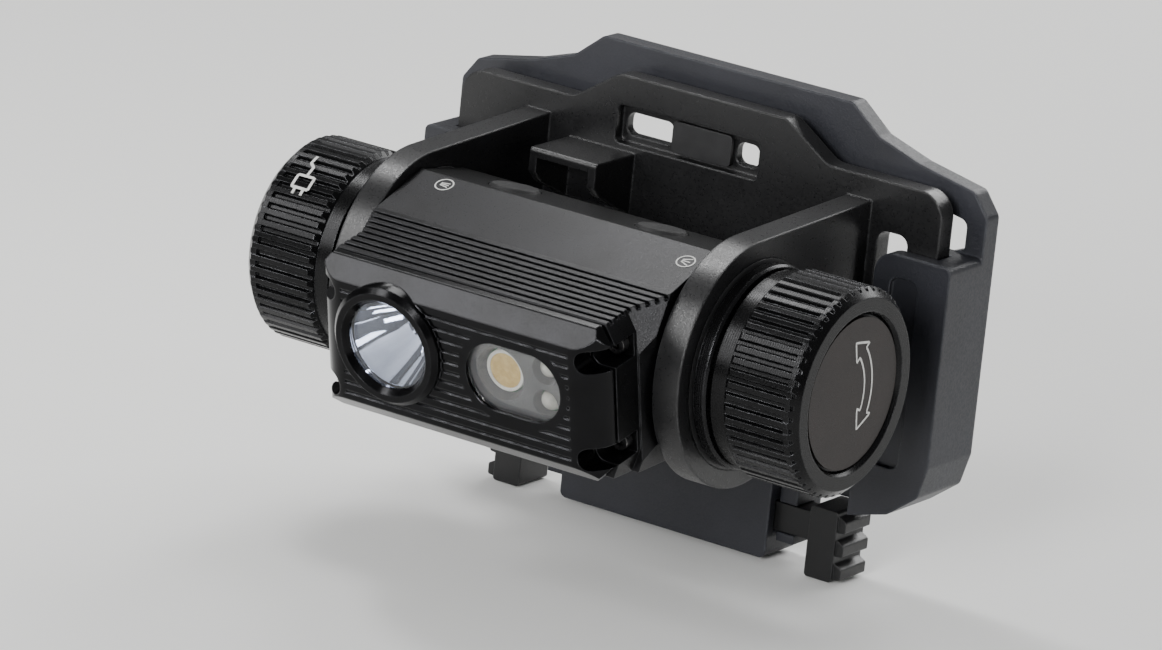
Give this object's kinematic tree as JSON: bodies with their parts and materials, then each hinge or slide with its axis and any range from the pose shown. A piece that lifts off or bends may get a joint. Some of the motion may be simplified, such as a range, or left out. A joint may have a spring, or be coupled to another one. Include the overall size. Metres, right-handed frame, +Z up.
{
  "type": "helmet headlamp",
  "caption": "Tube-shaped helmet headlamp with a spot lens and a flood window, held in a ring cradle that slides into a helmet adapter and tilts about the battery tube.",
  "frame": {"origin": "centre of the helmet adapter's lower cross bar, on the flat back face that rests on the helmet", "axes": "+Z up the adapter plate, -Y the way the lamp shines, X along the battery tube, +X towards the battery cap"},
  "size_m": [0.09, 0.0648, 0.0654],
  "materials": {
    "housing_anodised": "black hard-anodised, bead-blasted satin",
    "cover_anodised": "black hard-anodised, machined, polished corners",
    "cap_anodised": "black hard-anodised knurl",
    "band_anodised": "black hard-anodised, turned",
    "badge_brown": "dark satin disc",
    "seal_rubber": "matt",
    "button_rubber": "matt moulded",
    "screw_steel": "blackened",
    "spot_glass": "coated, clear",
    "reflector_chrome": "vacuum metallised, smooth",
    "board_green": "solder mask",
    "spot_emitter": "phosphor under silicone dome",
    "window_clear": "clear moulded",
    "insert_grey": "moulded grey",
    "flood_ring": "white dam",
    "flood_phosphor": "yellow phosphor",
    "small_led_clear": "clear epoxy dome over bright cup",
    "sink_aluminium": "bare milled",
    "chip_black": "moulded",
    "post_brass": "turned",
    "switch_steel": "pressed",
    "cell_wrap": "shrink wrap",
    "cell_terminal": "nickel plated",
    "contact_brass": "gold flashed",
    "plug_plastic": "moulded",
    "port_steel": "drawn",
    "spring_steel": "gold flashed wire",
    "cradle_plastic": "black semi-gloss nylon",
    "liner_plastic": "acetal friction liner",
    "clip_plastic": "satin",
    "adapter_plastic": "dark blue-grey nylon",
    "latch_plastic": "black nylon",
    "pad_rubber": "soft matt"
  },
  "bodies": {
    "adapter": {"adapter_frame": "adapter_plastic", "latch_cover": "adapter_plastic", "cover_screws": "screw_steel", "back_pads": "pad_rubber", "latch_spring_right": "spring_steel", "latch_spring_left": "spring_steel"},
    "cradle": {"cradle_frame": "cradle_plastic", "ring_liners": "liner_plastic", "slot_clip": "clip_plastic"},
    "lamp": {"main_housing": "housing_anodised", "front_cover": "cover_anodised", "head_gasket": "seal_rubber", "head_screws": "screw_steel", "spot_lens": "spot_glass", "spot_reflector": "reflector_chrome", "spot_board": "board_green", "spot_led": "spot_emitter", "flood_window": "window_clear", "flood_insert": "insert_grey", "flood_board": "board_green", "flood_led_ring": "flood_ring", "flood_led": "flood_phosphor", "small_leds": "small_led_clear", "heat_sink": "sink_aluminium", "driver_board": "board_green", "driver_chips": "chip_black", "board_posts": "post_brass", "tact_switches": "switch_steel", "battery_cell": "cell_wrap", "battery_terminal": "cell_terminal", "front_contact": "contact_brass", "port_board": "board_green", "port_plug": "plug_plastic", "usb_port": "port_steel", "usb_tongue": "plug_plastic", "tail_oring": "seal_rubber", "port_oring": "seal_rubber", "retaining_bands": "band_anodised"},
    "spot_button": {"spot_button": "button_rubber"},
    "flood_button": {"flood_button": "button_rubber"},
    "tail_insert": {"tail_contact": "contact_brass", "tail_insulator": "plug_plastic", "tail_spring": "spring_steel"},
    "tail_cap": {"tail_cap": "cap_anodised", "tail_badge": "badge_brown"},
    "port_insert": {"port_seal": "seal_rubber"},
    "port_cap": {"port_cap": "cap_anodised", "port_badge": "badge_brown"},
    "latch_right": {"latch_right": "latch_plastic"},
    "latch_left": {"latch_left": "latch_plastic"}
  },
  "joints": [
    {"name": "cradle_slide", "type": "slide", "parent": "adapter", "child": "cradle", "axis": [0, 0, 1], "range_m": [0, 0.031]},
    {"name": "lamp_tilt", "type": "hinge", "parent": "cradle", "child": "lamp", "pos_m": [0, -0.0345, 0.02], "axis": [1, 0, 0], "range_deg": [-13, 60]},
    {"name": "spot_press", "type": "slide", "parent": "lamp", "child": "spot_button", "axis": [0, -0.3442, -0.9389], "range_m": [0, 0.0003], "stiffness_N_per_m": 3000, "springref_m": -0.0004},
    {"name": "flood_press", "type": "slide", "parent": "lamp", "child": "flood_button", "axis": [0, -0.3442, -0.9389], "range_m": [0, 0.0003], "stiffness_N_per_m": 3000, "springref_m": -0.0004},
    {"name": "tail_travel", "type": "slide", "parent": "lamp", "child": "tail_insert", "axis": [1, 0, 0], "range_m": [0, 0.0025]},
    {"name": "tail_turn", "type": "hinge", "parent": "tail_insert", "child": "tail_cap", "pos_m": [0, -0.0345, 0.02], "axis": [1, 0, 0], "range_deg": [0, 721]},
    {"name": "port_travel", "type": "slide", "parent": "lamp", "child": "port_insert", "axis": [-1, 0, 0], "range_m": [0, 0.0025]},
    {"name": "port_turn", "type": "hinge", "parent": "port_insert", "child": "port_cap", "pos_m": [0, -0.0345, 0.02], "axis": [-1, 0, 0], "range_deg": [0, 721]},
    {"name": "latch_right_press", "type": "slide", "parent": "adapter", "child": "latch_right", "axis": [-1, 0, 0], "range_m": [0, 0.0015], "stiffness_N_per_m": 500, "springref_m": -0.002, "deforming": ["latch_spring_right"]},
    {"name": "latch_left_press", "type": "slide", "parent": "adapter", "child": "latch_left", "axis": [1, 0, 0], "range_m": [0, 0.0015], "stiffness_N_per_m": 500, "springref_m": -0.002, "deforming": ["latch_spring_left"]}
  ],
  "couplings": [
    {"joint": "tail_turn", "follows": "tail_travel", "rad_per_m": 5026.5},
    {"joint": "port_turn", "follows": "port_travel", "rad_per_m": 5026.5}
  ]
}
